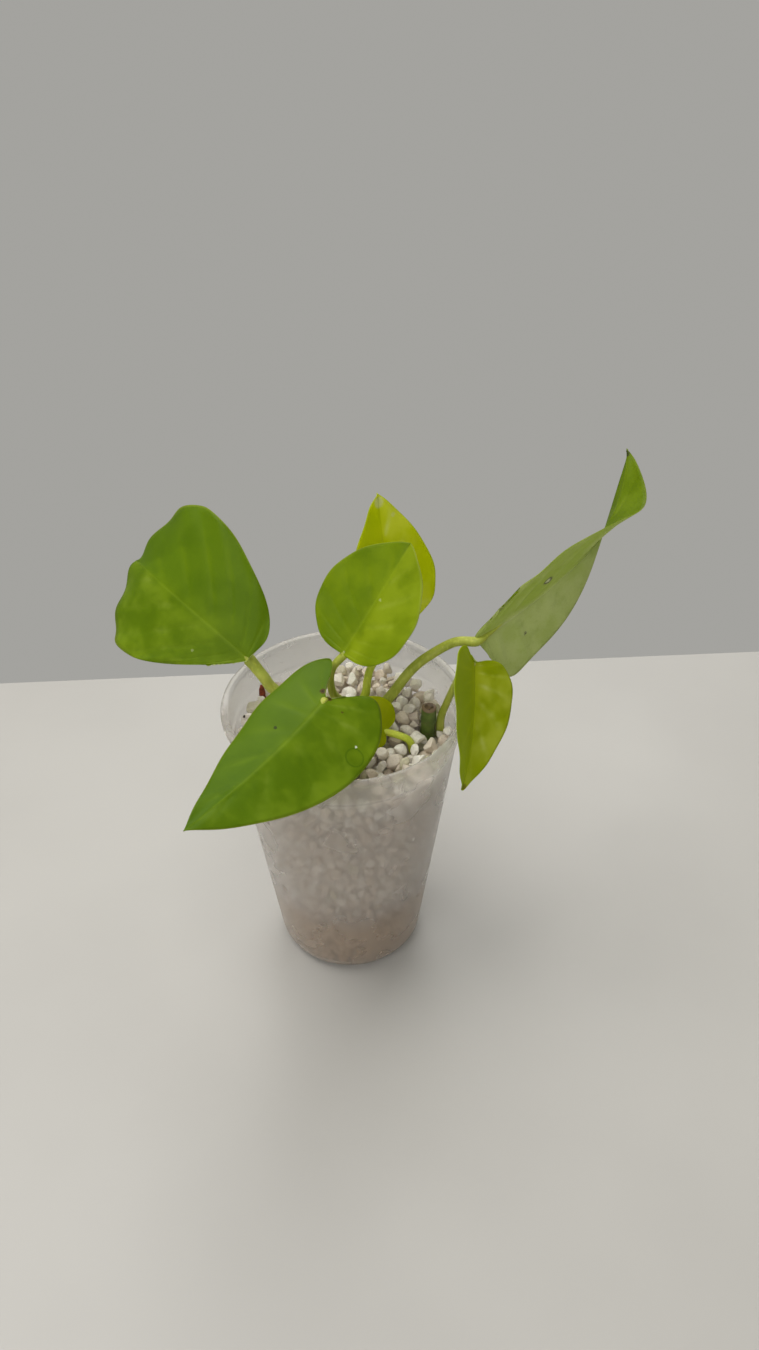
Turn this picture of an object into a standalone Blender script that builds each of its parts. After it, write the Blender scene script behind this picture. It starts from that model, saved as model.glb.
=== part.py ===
"""Young pothos cutting growing in pumice gravel in a tapered plastic cup.

Metres, +Z up. The origin is the centre of the cup's flat underside, so the cup stands
on the plane z = 0. Run with: blender --background --python part.py
"""
import math

import bmesh
import bpy
import numpy as np
from mathutils import Matrix, Vector, noise

# ---- Driving dimensions -------------------------------------------------------------

CUP_HEIGHT = 0.101
RIM_RADIUS = 0.0375          # over the rolled rim
BASE_RADIUS = 0.0242         # where the wall's line meets the underside
CUP_WALL = 0.0008
ROLL_EXTRA = 0.0004
BEAD_RADIUS = CUP_WALL + ROLL_EXTRA    # the rolled rim's own round section
CORNER_RADIUS = 0.006        # between the underside and the wall
STEP_BELOW_RIM = 0.011       # the stacking step in the wall
STEP_DEPTH = 0.0004

HEADSPACE = 0.0135           # from the gravel fill's top up to the rim
FIT_GAP = 0.0003             # between pieces that touch

GRAIN_SIZE = 0.0052          # a loose grain's mean width
GRAIN_BREADTH = 0.84         # of its width
GRAIN_FLATNESS = 0.72        # of its width
GRAIN_BUMPS = 0.22           # how far its surface wanders, as a share of its radius
GRAIN_COUNT = 16
GRAIN_PATTERN = 70           # places in the pattern that the loose grains are chosen from
GRAIN_CLEARANCE = 0.0012     # from a loose grain to stems, wall and other grains

STEM_RADIUS = 0.0029
STEM_BELOW = 0.032           # how deep the stem stands in the gravel
STEM_ABOVE = 0.0075
STUB_RADIUS = 0.0023
STUB_BELOW = 0.014
STUB_ABOVE = 0.0085

BARK_WIDTH = 0.0034
BARK_THICKNESS = 0.0014
BARK_HEIGHT = 0.0058

LEAF_THICKNESS = 0.0005
LEAF_ROWS = 16               # faces along a blade
LEAF_COLUMNS = 8             # faces across a blade
BLADE_GAP = 0.0020           # from a petiole's end to its blade's base

GRAVEL_TOP = CUP_HEIGHT - HEADSPACE

# ---- Colours ------------------------------------------------------------------------

CUP_COLOUR = (0.80, 0.78, 0.75, 0.45)
PUMICE_COLOUR = (0.62, 0.56, 0.50, 1.0)
LEAF_COLOUR = (0.16, 0.29, 0.01, 1.0)
YOUNG_LEAF_COLOUR = (0.32, 0.40, 0.02, 1.0)
PETIOLE_COLOUR = (0.25, 0.30, 0.04, 1.0)
STEM_COLOUR = (0.12, 0.16, 0.03, 1.0)
BARK_COLOUR = (0.20, 0.03, 0.01, 1.0)

# ---- The leaves ---------------------------------------------------------------------
# attach: bearing (degrees, 0 = +X), distance from the cup's axis, height.
# heading, rise, roll: the blade's direction at its base, in degrees.
# half_widths, lobes and spread: left and right, seen from the base, upper side up.
# spread: above 1 moves the widest place towards the base. point: low is long-tipped.
# droop, sway, twist: how far the midrib turns along its length, in degrees.
# late: 0 spreads the droop evenly, 1 keeps it for the tip.
# fold, cup: how the halves rise at the midrib and on towards the margin, in degrees.

LEAVES = {
    "leaf_front": dict(
        attach=(-105.4, RIM_RADIUS - 0.0209, CUP_HEIGHT + 0.0134),
        heading=-118, rise=-4, roll=-14.5, length=0.0578,
        half_widths=(0.0211, 0.0150), lobes=(0.0111, 0.0166), spread=(1.53, 1.53), point=2.65,
        droop=9, late=0.3, sway=-16, fold=-9.5, cup=-13),
    "leaf_centre": dict(
        attach=(95, 0.0034, CUP_HEIGHT + 0.0145),
        heading=36, rise=48, roll=6, length=0.0386,
        half_widths=(0.0197, 0.0186), lobes=(0.0010, 0.0002), spread=(1.17, 1.17), point=5.2,
        droop=-3, late=0.3, sway=0, fold=4, cup=3),
    "leaf_left": dict(
        attach=(169.2, RIM_RADIUS - 0.0082, CUP_HEIGHT + 0.0109),
        heading=156.5, rise=37.5, roll=-57, length=0.0581,
        half_widths=(0.0247, 0.0275), lobes=(0.0002, 0.0083), spread=(0.58, 0.58), point=6.2,
        droop=67, late=0.3, sway=15, fold=-1.5, cup=0),
    "leaf_back": dict(
        attach=(63.7, RIM_RADIUS - 0.0041, CUP_HEIGHT + 0.0072),
        heading=115, rise=78.5, roll=14, length=0.0431,
        half_widths=(0.0170, 0.0180), lobes=(0.0030, 0.0017), spread=(1.37, 1.37), point=2.6,
        droop=5, late=0.3, sway=-1, fold=6.5, cup=5),
    "leaf_tall": dict(
        attach=(7, RIM_RADIUS + 0.0020, CUP_HEIGHT + 0.0190),
        heading=21.5, rise=24, roll=-73, length=0.0827,
        half_widths=(0.0225, 0.0232), lobes=(-0.0018, -0.0084), spread=(2.38, 1.15),
        point=1.64, droop=-63, late=0.6, sway=10.5, fold=-11.5, cup=-9.5, twist=45.5,
        twist_at=0.64, twist_over=0.17),
    "leaf_low": dict(
        attach=(-7.4, RIM_RADIUS + 0.0013, CUP_HEIGHT + 0.0175),
        heading=-87, rise=-52, roll=-44, length=0.0380,
        half_widths=(0.0136, 0.0147), lobes=(0.0008, 0.0055), spread=(1.43, 1.43), point=2.9,
        droop=20, late=0.3, sway=-3, fold=17, cup=0),
    "leaf_small": dict(
        attach=(-21.5, 0.0137, GRAVEL_TOP + 0.0049),
        heading=184.5, rise=46.5, roll=-44, length=0.0155,
        half_widths=(0.0075, 0.0081), lobes=(0.0020, 0.0012), spread=(1.34, 1.34), point=4.3,
        droop=7, late=0.3, sway=0, fold=3.5, cup=4),
}

STEM_FOOT = Vector((0.0005, 0.0010, GRAVEL_TOP - STEM_BELOW))
STEM_TOP = Vector((0.0018, 0.0026, GRAVEL_TOP + STEM_ABOVE))
STUB_FOOT = Vector((0.0254, 0.0022, GRAVEL_TOP - STUB_BELOW))
STUB_TOP = Vector((0.0260, 0.0018, GRAVEL_TOP + STUB_ABOVE))


def beside_stem(bearing, out, height):
    """A place as far out from the vine's surface, at a height above the gravel."""
    level = GRAVEL_TOP + height
    middle = STEM_FOOT.lerp(STEM_TOP, (level - STEM_FOOT.z) / (STEM_TOP.z - STEM_FOOT.z))
    angle = math.radians(bearing)
    reach = STEM_RADIUS + out
    return (middle.x + reach * math.cos(angle), middle.y + reach * math.sin(angle), height)


def inside_rim(bearing, inset, height):
    """A place so far in from the rim, at a height above the gravel."""
    angle = math.radians(bearing)
    reach = RIM_RADIUS - inset
    return (reach * math.cos(angle), reach * math.sin(angle), height)


# Petioles: the points along each one (x, y, height above the gravel), from the vine or
# from under the gravel, and the radius at the start and at the blade.
# Each ends at its own leaf's base.
PETIOLES = {
    "petiole_front": dict(leaf="leaf_front", radii=(0.0015, 0.0012), path=[
        beside_stem(-82, 0.0013, 0.0036), (0.0004, -0.0060, 0.0085),
        (-0.0020, -0.0115, 0.0185)]),
    "petiole_centre": dict(leaf="leaf_centre", radii=(0.0014, 0.0012), path=[
        (0.0006, 0.0032, STEM_ABOVE + 0.0015), (-0.0028, 0.0030, 0.0122),
        (-0.0040, 0.0030, 0.0174), (-0.0032, 0.0030, 0.0231)]),
    "petiole_left": dict(leaf="leaf_left", radii=(0.0018, 0.0018), path=[
        beside_stem(190, 0.0015, 0.0030), (-0.0110, 0.0024, 0.0062),
        (-0.0213, 0.0040, 0.0140), (-0.0246, 0.0046, 0.0190)]),
    "petiole_back": dict(leaf="leaf_back", radii=(0.0014, 0.0011), path=[
        beside_stem(67, 0.0016, 0.0020), (0.0062, 0.0082, 0.0084),
        (0.0070, 0.0102, 0.0128), (0.0085, 0.0130, 0.0165),
        inside_rim(56.2, 0.0120, 0.0200)]),
    "petiole_tall": dict(leaf="leaf_tall", radii=(0.0017, 0.0014), path=[
        beside_stem(3, 0.0019, 0.0025), (0.0131, 0.0040, 0.0098),
        (0.0201, 0.0058, 0.0196), (0.0261, 0.0064, 0.0252), (0.0334, 0.0062, 0.0301)]),
    "petiole_low": dict(leaf="leaf_low", radii=(0.0012, 0.0010), path=[
        (0.0298, 0.0026, -0.0035), (0.0299, 0.0024, 0.0041), (0.0315, 0.0015, 0.0109),
        (0.0332, 0.0000, 0.0179), (0.0354, -0.0022, 0.0262)]),
    "petiole_small": dict(leaf="leaf_small", radii=(0.0012, 0.0011), path=[
        (0.0212, -0.0064, -0.0020), (0.0192, -0.0065, 0.0030)]),
}
ROOTED_PETIOLES = ("petiole_low", "petiole_small")    # these two rise out of the gravel


# ---- Helpers ------------------------------------------------------------------------

def clear_scene():
    for old in list(bpy.data.objects):
        bpy.data.objects.remove(old, do_unlink=True)


def collection(name):
    made = bpy.data.collections.new(name)
    bpy.context.scene.collection.children.link(made)
    return made


def material(name, colour, roughness):
    made = bpy.data.materials.new(name)
    made.use_nodes = True
    shader = made.node_tree.nodes["Principled BSDF"]
    shader.inputs["Base Color"].default_value = colour
    shader.inputs["Roughness"].default_value = roughness
    shader.inputs["Metallic"].default_value = 0.0
    shader.inputs["Alpha"].default_value = colour[3]
    return made


def mesh_object(name, mesh, group, finish):
    made = bpy.data.objects.new(name, mesh)
    group.objects.link(made)
    mesh.materials.append(finish)
    return made


def turned(name, profile, steps, group, finish):
    """A solid of revolution: the profile (radius, height) runs down its outer side."""
    mesh = bpy.data.meshes.new(name)
    corners = [(radius, 0.0, height) for radius, height in profile]
    edges = [(i, i + 1) for i in range(len(corners) - 1)]
    mesh.from_pydata(corners, edges, [])
    made = mesh_object(name, mesh, group, finish)
    screw = made.modifiers.new("turn", "SCREW")
    screw.axis = "Z"
    screw.steps = steps
    screw.render_steps = steps
    screw.use_smooth_shade = True
    screw.use_merge_vertices = True
    screw.merge_threshold = 0.00005
    return made


def smooth_path(points, per_span):
    """Points on a Catmull-Rom curve through the given ones, ends included."""
    given = [Vector(p) for p in points]
    knots = [given[0] * 2 - given[1]] + given + [given[-1] * 2 - given[-2]]
    found = []
    for a, b, c, d in zip(knots, knots[1:], knots[2:], knots[3:]):
        for i in range(per_span):
            t = i / per_span
            found.append(0.5 * (2 * b + (c - a) * t + (2 * a - 5 * b + 4 * c - d) * t * t
                                + (3 * b - a - 3 * c + d) * t ** 3))
    found.append(given[-1])
    return found


def tube(name, points, radii, group, finish):
    """A round stem through the points, its radius running from radii[0] to radii[1]."""
    curve = bpy.data.curves.new(name, "CURVE")
    curve.dimensions = "3D"
    curve.bevel_depth = radii[0]
    curve.bevel_resolution = 2
    curve.use_fill_caps = True
    spline = curve.splines.new("POLY")
    spline.points.add(len(points) - 1)
    for i, (knot, place) in enumerate(zip(spline.points, points)):
        along = i / (len(points) - 1)
        knot.co = (*place, 1.0)
        knot.radius = 1 + (radii[1] / radii[0] - 1) * along
    made = bpy.data.objects.new(name, curve)
    group.objects.link(made)
    curve.materials.append(finish)
    return made


def as_mesh(source, group):
    """The curve object as a mesh with its caps welded; the curve is removed."""
    depsgraph = bpy.context.evaluated_depsgraph_get()
    mesh = bpy.data.meshes.new_from_object(source.evaluated_get(depsgraph))
    shape = bmesh.new()
    shape.from_mesh(mesh)
    bmesh.ops.remove_doubles(shape, verts=shape.verts, dist=0.00001)
    bmesh.ops.recalc_face_normals(shape, faces=shape.faces)
    shape.to_mesh(mesh)
    shape.free()
    name = source.name
    matrix = source.matrix_world.copy()
    bpy.data.objects.remove(source, do_unlink=True)
    made = bpy.data.objects.new(name, mesh)
    made.matrix_world = matrix
    group.objects.link(made)
    return made


def cut(target, cutter):
    cutter.hide_render = True
    cutter.display_type = "WIRE"
    step = target.modifiers.new("cut " + cutter.name, "BOOLEAN")
    step.operation = "DIFFERENCE"
    step.solver = "EXACT"
    step.object = cutter


# ---- The cup and the gravel ---------------------------------------------------------

WALL_SLOPE = math.atan((RIM_RADIUS - BEAD_RADIUS - BASE_RADIUS) / CUP_HEIGHT)


def wall_radius(height, inset=0.0):
    """The wall's outer radius at a height, moved inwards by inset."""
    step = STEP_DEPTH if height > CUP_HEIGHT - STEP_BELOW_RIM else 0.0
    return BASE_RADIUS + height * math.tan(WALL_SLOPE) + step - inset / math.cos(WALL_SLOPE)


def corner(inset, floor, turns=5):
    """The arc between floor and wall for a surface set in by inset, floor side first."""
    radius = CORNER_RADIUS - inset
    foot = BASE_RADIUS - inset / math.cos(WALL_SLOPE) + floor * math.tan(WALL_SLOPE)
    centre = foot - radius * (1 - math.sin(WALL_SLOPE)) / math.cos(WALL_SLOPE)
    arc = []
    for i in range(turns + 1):
        angle = -math.pi / 2 + (math.pi / 2 - WALL_SLOPE) * i / turns
        arc.append((centre + radius * math.cos(angle), floor + radius * (1 + math.sin(angle))))
    return arc


def wall_line(inset, top):
    """The wall from above its corner to the height top, with the stacking step."""
    edge = CUP_HEIGHT - STEP_BELOW_RIM
    line = [(wall_radius(h, inset), h) for h in (edge - 0.0004, edge + 0.0004) if h < top]
    return line + [(wall_radius(top, inset), top)]


def rim_bead(turns=10):
    """The rolled rim from the inner wall, over the top, to the outer wall."""
    middle = (RIM_RADIUS - BEAD_RADIUS, CUP_HEIGHT - BEAD_RADIUS)
    low = middle[1] - BEAD_RADIUS
    inner = math.acos((wall_radius(low, CUP_WALL) - middle[0]) / BEAD_RADIUS)
    outer = math.acos((wall_radius(low) - middle[0]) / BEAD_RADIUS)
    start, end = 2 * math.pi - inner, -outer
    arc = []
    for i in range(turns + 1):
        angle = start + (end - start) * i / turns
        arc.append((middle[0] + BEAD_RADIUS * math.cos(angle),
                    middle[1] + BEAD_RADIUS * math.sin(angle)))
    return arc


def build_cup(group, finish):
    low = CUP_HEIGHT - 2.6 * BEAD_RADIUS
    inside = [(0.0, CUP_WALL)] + corner(CUP_WALL, CUP_WALL) + wall_line(CUP_WALL, low)
    outside = [(0.0, 0.0)] + corner(0.0, 0.0) + wall_line(0.0, low)
    return turned("cup", inside + rim_bead() + outside[::-1], 48, group, finish)


def build_gravel(group, finish, cutters):
    inset = CUP_WALL + FIT_GAP
    side = corner(inset, inset) + wall_line(inset, GRAVEL_TOP)
    profile = [(0.0, GRAVEL_TOP)] + side[::-1] + [(0.0, inset)]
    made = turned("pumice_fill", profile, 40, group, finish)
    for cutter in cutters:
        cut(made, cutter)
    return made


def free_of(place, others, distance):
    return all((place - other).length > distance for other in others)


def loose_places(obstacles):
    """Places for the loose grains: a sunflower pattern over the gravel, less what stands in it."""
    reach = wall_radius(GRAVEL_TOP, CUP_WALL) - GRAIN_SIZE / 2 - GRAIN_CLEARANCE
    blocked = [Vector((p.x, p.y)) for p in obstacles]
    places = []
    for i in range(GRAIN_PATTERN):
        radius = reach * math.sqrt((i + 0.5) / GRAIN_PATTERN)
        angle = i * math.pi * (3 - math.sqrt(5))
        place = Vector((radius * math.cos(angle), radius * math.sin(angle)))
        if len(places) == GRAIN_COUNT:
            break
        if not free_of(place, blocked, GRAIN_SIZE / 2 + STEM_RADIUS + GRAIN_CLEARANCE):
            continue
        if free_of(place, places, GRAIN_SIZE + GRAIN_CLEARANCE):
            places.append(place)
    return places


def build_grain(name, place, seed, group, finish):
    """One loose pumice grain lying on the fill: a worn, slightly angular pebble."""
    mesh = bpy.data.meshes.new(name)
    shape = bmesh.new()
    bmesh.ops.create_icosphere(shape, subdivisions=1, radius=GRAIN_SIZE / 2)
    turn = Matrix.Rotation(seed * 1.7, 3, "Z") @ Matrix.Rotation(0.25 * math.sin(seed), 3, "X")
    for vert in shape.verts:
        spot = vert.co.normalized() * 1.4 + Vector((seed * 5.3, 0, 0))
        bump = 1 + GRAIN_BUMPS * noise.noise(spot)
        vert.co = turn @ Vector((vert.co.x * bump, vert.co.y * bump * GRAIN_BREADTH,
                                 vert.co.z * bump * GRAIN_FLATNESS))
    lowest = min(vert.co.z for vert in shape.verts)
    shape.to_mesh(mesh)
    shape.free()
    made = mesh_object(name, mesh, group, finish)
    made.location = (place.x, place.y, GRAVEL_TOP + FIT_GAP - lowest)
    return made


def build_bark(group, finish):
    """A flake of bark standing in the gravel by the cup's back left wall."""
    bearing = math.radians(149)
    distance = wall_radius(GRAVEL_TOP, CUP_WALL) - BARK_THICKNESS / 2 - 5 * FIT_GAP
    mesh = bpy.data.meshes.new("bark_chip")
    shape = bmesh.new()
    bmesh.ops.create_cube(shape, size=1.0)
    bmesh.ops.scale(shape, vec=(BARK_THICKNESS, BARK_WIDTH, BARK_HEIGHT), verts=shape.verts)
    for vert in shape.verts:
        if vert.co.z > 0:
            vert.co.y *= 0.55
    bmesh.ops.bevel(shape, geom=shape.edges[:], offset=BARK_THICKNESS / 4, segments=1,
                    affect="EDGES")
    shape.to_mesh(mesh)
    shape.free()
    made = mesh_object("bark_chip", mesh, group, finish)
    made.location = (distance * math.cos(bearing), distance * math.sin(bearing),
                     GRAVEL_TOP + FIT_GAP + BARK_HEIGHT / 2)
    made.rotation_euler = (0.0, 0.0, bearing)
    return made


# ---- The blades ---------------------------------------------------------------------

def attach_point(leaf):
    bearing, distance, height = leaf["attach"]
    angle = math.radians(bearing)
    return Vector((distance * math.cos(angle), distance * math.sin(angle), height))


def midrib_frames(leaf, count=60):
    """Place, forward, left and up vectors along the midrib, from the blade's base."""
    heading, rise = math.radians(leaf["heading"]), math.radians(leaf["rise"])
    forward = Vector((math.cos(rise) * math.cos(heading), math.cos(rise) * math.sin(heading),
                      math.sin(rise)))
    left = Vector((0, 0, 1)).cross(forward).normalized()
    up = forward.cross(left)
    roll = Matrix.Rotation(math.radians(leaf["roll"]), 3, forward)
    left, up = roll @ left, roll @ up
    place = attach_point(leaf)
    late = leaf["late"]
    frames = []
    for i in range(count + 1):
        frames.append((place.copy(), forward.copy(), left.copy(), up.copy()))
        along = (i + 0.5) / count
        droop = math.radians(leaf["droop"]) / count * (1 - late + 3 * late * along ** 2)
        sway = math.radians(leaf["sway"]) / count
        twist = 0.0
        if "twist" in leaf:
            offset = (along - leaf["twist_at"]) / leaf["twist_over"]
            share = math.exp(-offset ** 2) / (leaf["twist_over"] * math.sqrt(math.pi))
            twist = math.radians(leaf["twist"]) / count * share
        turn = Matrix.Rotation(droop, 3, left)
        forward, up = turn @ forward, turn @ up
        turn = Matrix.Rotation(sway, 3, up)
        forward, left = turn @ forward, turn @ left
        turn = Matrix.Rotation(twist, 3, forward)
        left, up = turn @ left, turn @ up
        place = place + forward * (leaf["length"] / count)
    return frames


def margin(leaf, side, t):
    """The heart-shaped margin, t from 0 in the notch to 1 at the tip: (along, across)."""
    point = leaf["point"]
    widest = max(math.sin(math.pi * u) * (1 - u ** point) for u in np.linspace(0, 1, 101))
    lobe = (t / 0.17 * math.exp(1 - t / 0.17)) ** 2
    swell = ((1 - math.cos(math.pi * t)) / 2) ** leaf["spread"][side]
    along = leaf["length"] * swell - leaf["lobes"][side] * lobe
    across = leaf["half_widths"][side] * math.sin(math.pi * t) * (1 - t ** point) / widest
    return along, across


def blade_point(leaf, frames, t, v):
    """The point on lateral vein t at v, from -1 on the right margin to 1 on the left."""
    side = 0 if v >= 0 else 1
    edge_along, edge_across = margin(leaf, side, t)
    start = leaf["length"] * t ** 2.3
    along = start + (edge_along - start) * abs(v) ** 1.3
    across = edge_across * abs(v)
    fold = math.radians(leaf["fold"])
    bend = math.radians(leaf["cup"]) / max(leaf["half_widths"])
    if abs(bend) > 1e-6:
        out = (math.sin(fold + bend * across) - math.sin(fold)) / bend
        lift = (math.cos(fold) - math.cos(fold + bend * across)) / bend
    else:
        out, lift = across * math.cos(fold), across * math.sin(fold)
    spot = min(max(along / leaf["length"], 0.0), 1.0) * (len(frames) - 1)
    low = min(int(spot), len(frames) - 2)
    place, forward, left, up = [a.lerp(b, spot - low) for a, b in zip(frames[low], frames[low + 1])]
    if along < 0:
        place = place + forward * along
    return place + left * (out if v >= 0 else -out) + up * lift


def build_leaf(name, leaf, group, finish):
    frames = midrib_frames(leaf)
    mesh = bpy.data.meshes.new(name)
    shape = bmesh.new()
    bmesh.ops.create_grid(shape, x_segments=LEAF_COLUMNS, y_segments=LEAF_ROWS, size=1.0)
    for vert in shape.verts:
        t = 0.02 + 0.95 * (vert.co.y + 1) / 2
        vert.co = blade_point(leaf, frames, t, -vert.co.x)
    shape.to_mesh(mesh)
    shape.free()
    mesh.shade_smooth()
    made = mesh_object(name, mesh, group, finish)
    skin = made.modifiers.new("thickness", "SOLIDIFY")
    skin.thickness = LEAF_THICKNESS
    skin.offset = 0.0
    return made


def petiole_points(petiole):
    """From the stem to just short of the blade's base, on one smooth curve."""
    end = attach_point(LEAVES[petiole["leaf"]])
    route = [Vector((x, y, GRAVEL_TOP + z)) for x, y, z in petiole["path"]]
    back = (end - route[-1]).normalized()
    return smooth_path(route + [end - back * BLADE_GAP], 3)


# ---- The plant in its cup -----------------------------------------------------------

def build():
    clear_scene()
    parts = collection("potted_pothos")
    cutters = collection("cutters")
    plastic = material("cup_plastic", CUP_COLOUR, 0.45)
    pumice = material("pumice", PUMICE_COLOUR, 0.9)
    green = material("leaf", LEAF_COLOUR, 0.35)
    young = material("young_leaf", YOUNG_LEAF_COLOUR, 0.35)
    stalk = material("petiole", PETIOLE_COLOUR, 0.5)
    bark = material("bark", BARK_COLOUR, 0.85)
    woody = material("stem", STEM_COLOUR, 0.6)

    stems = {
        "vine_stem": ([STEM_FOOT, STEM_FOOT.lerp(STEM_TOP, 0.5), STEM_TOP],
                      (STEM_RADIUS, STEM_RADIUS * 0.9)),
        "stem_stub": ([STUB_FOOT, STUB_FOOT.lerp(STUB_TOP, 0.5), STUB_TOP],
                      (STUB_RADIUS, STUB_RADIUS)),
    }
    buried = dict(stems)
    for name in ROOTED_PETIOLES:
        buried[name] = (petiole_points(PETIOLES[name]), PETIOLES[name]["radii"])

    holes = []
    for name, (points, radii) in buried.items():
        wide = tuple(radius + FIT_GAP for radius in radii)
        longer = [points[0] + (points[0] - points[1]).normalized() * FIT_GAP] + points[1:]
        hole = tube("hole_" + name, longer, wide, cutters, woody)
        holes.append(as_mesh(hole, cutters))

    build_cup(parts, plastic)
    build_gravel(parts, pumice, holes)
    for name, (points, radii) in stems.items():
        tube(name, points, radii, parts, woody)
    for name, petiole in PETIOLES.items():
        tube(name, petiole_points(petiole), petiole["radii"], parts, stalk)
    for name, leaf in LEAVES.items():
        build_leaf(name, leaf, parts, young if name == "leaf_back" else green)

    standing = [points[-1] for points, radii in stems.values()]
    standing += [p for petiole in PETIOLES.values() for p in petiole_points(petiole)
                 if p.z < GRAVEL_TOP + GRAIN_SIZE * 1.6]
    chip = build_bark(parts, bark)
    standing.append(chip.location)
    for i, place in enumerate(loose_places(standing)):
        build_grain("grain_%02d" % (i + 1), place, i + 1, parts, pumice)


build()
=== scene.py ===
import math

import bmesh
import bpy
import numpy as np
from mathutils import Matrix, Vector


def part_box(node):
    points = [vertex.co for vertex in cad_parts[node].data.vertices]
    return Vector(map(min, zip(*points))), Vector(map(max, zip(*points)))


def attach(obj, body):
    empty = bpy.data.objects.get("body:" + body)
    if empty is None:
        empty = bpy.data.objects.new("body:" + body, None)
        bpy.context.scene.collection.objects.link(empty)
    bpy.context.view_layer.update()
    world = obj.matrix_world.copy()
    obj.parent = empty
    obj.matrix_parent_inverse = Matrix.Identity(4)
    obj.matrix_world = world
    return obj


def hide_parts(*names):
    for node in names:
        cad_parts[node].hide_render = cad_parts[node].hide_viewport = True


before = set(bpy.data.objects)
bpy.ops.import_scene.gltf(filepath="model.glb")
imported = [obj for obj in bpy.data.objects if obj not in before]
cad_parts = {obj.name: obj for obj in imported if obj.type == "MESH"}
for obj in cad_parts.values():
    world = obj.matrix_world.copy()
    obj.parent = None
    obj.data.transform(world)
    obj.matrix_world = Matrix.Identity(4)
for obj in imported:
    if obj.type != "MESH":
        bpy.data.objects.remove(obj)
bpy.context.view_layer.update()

scene = bpy.context.scene

# The cup and the gravel give every other height and distance
cupLow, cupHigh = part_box("cup")
cupHeight = cupHigh.z
rimRadius = (cupHigh.x - cupLow.x) / 2
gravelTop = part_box("pumice_fill")[1].z
print("frame loaded: cup", round(cupHeight, 4), "m tall, gravel at", round(gravelTop, 4))


# Mesh helpers
def meshPiece(name, verts, faces, material, nodes, slotName, marks=None, smooth=True):
    mesh = bpy.data.meshes.new(name)
    mesh.from_pydata(np.asarray(verts).tolist(), [], faces)
    for key, values in (marks or {}).items():
        values = np.asarray(values, dtype=np.float32)
        kind = "FLOAT" if values.ndim == 1 else "FLOAT_COLOR"
        layer = mesh.attributes.new(key, kind, "POINT")
        layer.data.foreach_set("value" if values.ndim == 1 else "color", values.ravel())
    if smooth:
        mesh.shade_smooth()
    mesh.materials.append(material)
    piece = bpy.data.objects.new(name, mesh)
    scene.collection.objects.link(piece)
    if nodes:
        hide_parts(*nodes)
    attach(piece, "root")
    return piece


def splinePath(points, perSpan):
    # Catmull-Rom through the points, ends included
    p = [np.array(q, dtype=float) for q in points]
    p = [2 * p[0] - p[1]] + p + [2 * p[-1] - p[-2]]
    out = []
    for a, b, c, d in zip(p, p[1:], p[2:], p[3:]):
        for i in range(perSpan):
            t = i / perSpan
            out.append(0.5 * (2 * b + (c - a) * t + (2 * a - 5 * b + 4 * c - d) * t * t
                              + (3 * b - a - 3 * c + d) * t ** 3))
    out.append(p[-2])
    return np.array(out)


def sweep(path, radii, sides, upHint, section):
    # a closed tube: section(angle, along) scales the radius, angle 0 is the side away from upHint
    path = np.asarray(path)
    steps = np.gradient(path, axis=0)
    steps /= np.linalg.norm(steps, axis=1)[:, None]
    up = np.array(upHint, dtype=float)
    rings = []
    for i, (place, step) in enumerate(zip(path, steps)):
        up = up - step * up.dot(step)
        up /= np.linalg.norm(up)
        side = np.cross(step, up)
        along = i / (len(path) - 1)
        for j in range(sides):
            angle = 2 * math.pi * j / sides
            reach = radii[i] * section(angle, along)
            rings.append(place + reach * (side * math.sin(angle) - up * math.cos(angle)))
    rings = np.array(rings)
    faces = ringFaces(len(path), sides)
    faces.append(tuple(range(sides))[::-1])
    last = (len(path) - 1) * sides
    faces.append(tuple(range(last, last + sides)))
    return rings, faces


def lathe(profile, turns):
    # a solid of revolution from (radius, height) pairs
    spin = [2 * math.pi * j / turns for j in range(turns)]
    verts = [(r * math.cos(a), r * math.sin(a), h) for r, h in profile for a in spin]
    return verts, ringFaces(len(profile), turns)


def ringFaces(rings, sides):
    faces = []
    for i in range(rings - 1):
        for j in range(sides):
            k = (j + 1) % sides
            faces.append((i * sides + j, i * sides + k, (i + 1) * sides + k, (i + 1) * sides + j))
    return faces


def facingOut(piece, seamed=False):
    # a seamed piece has vertices in the same place, which become one
    work = bmesh.new()
    work.from_mesh(piece.data)
    if seamed:
        bmesh.ops.remove_doubles(work, verts=work.verts, dist=0.00001)
    bmesh.ops.recalc_face_normals(work, faces=work.faces)
    work.to_mesh(piece.data)
    work.free()


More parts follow.
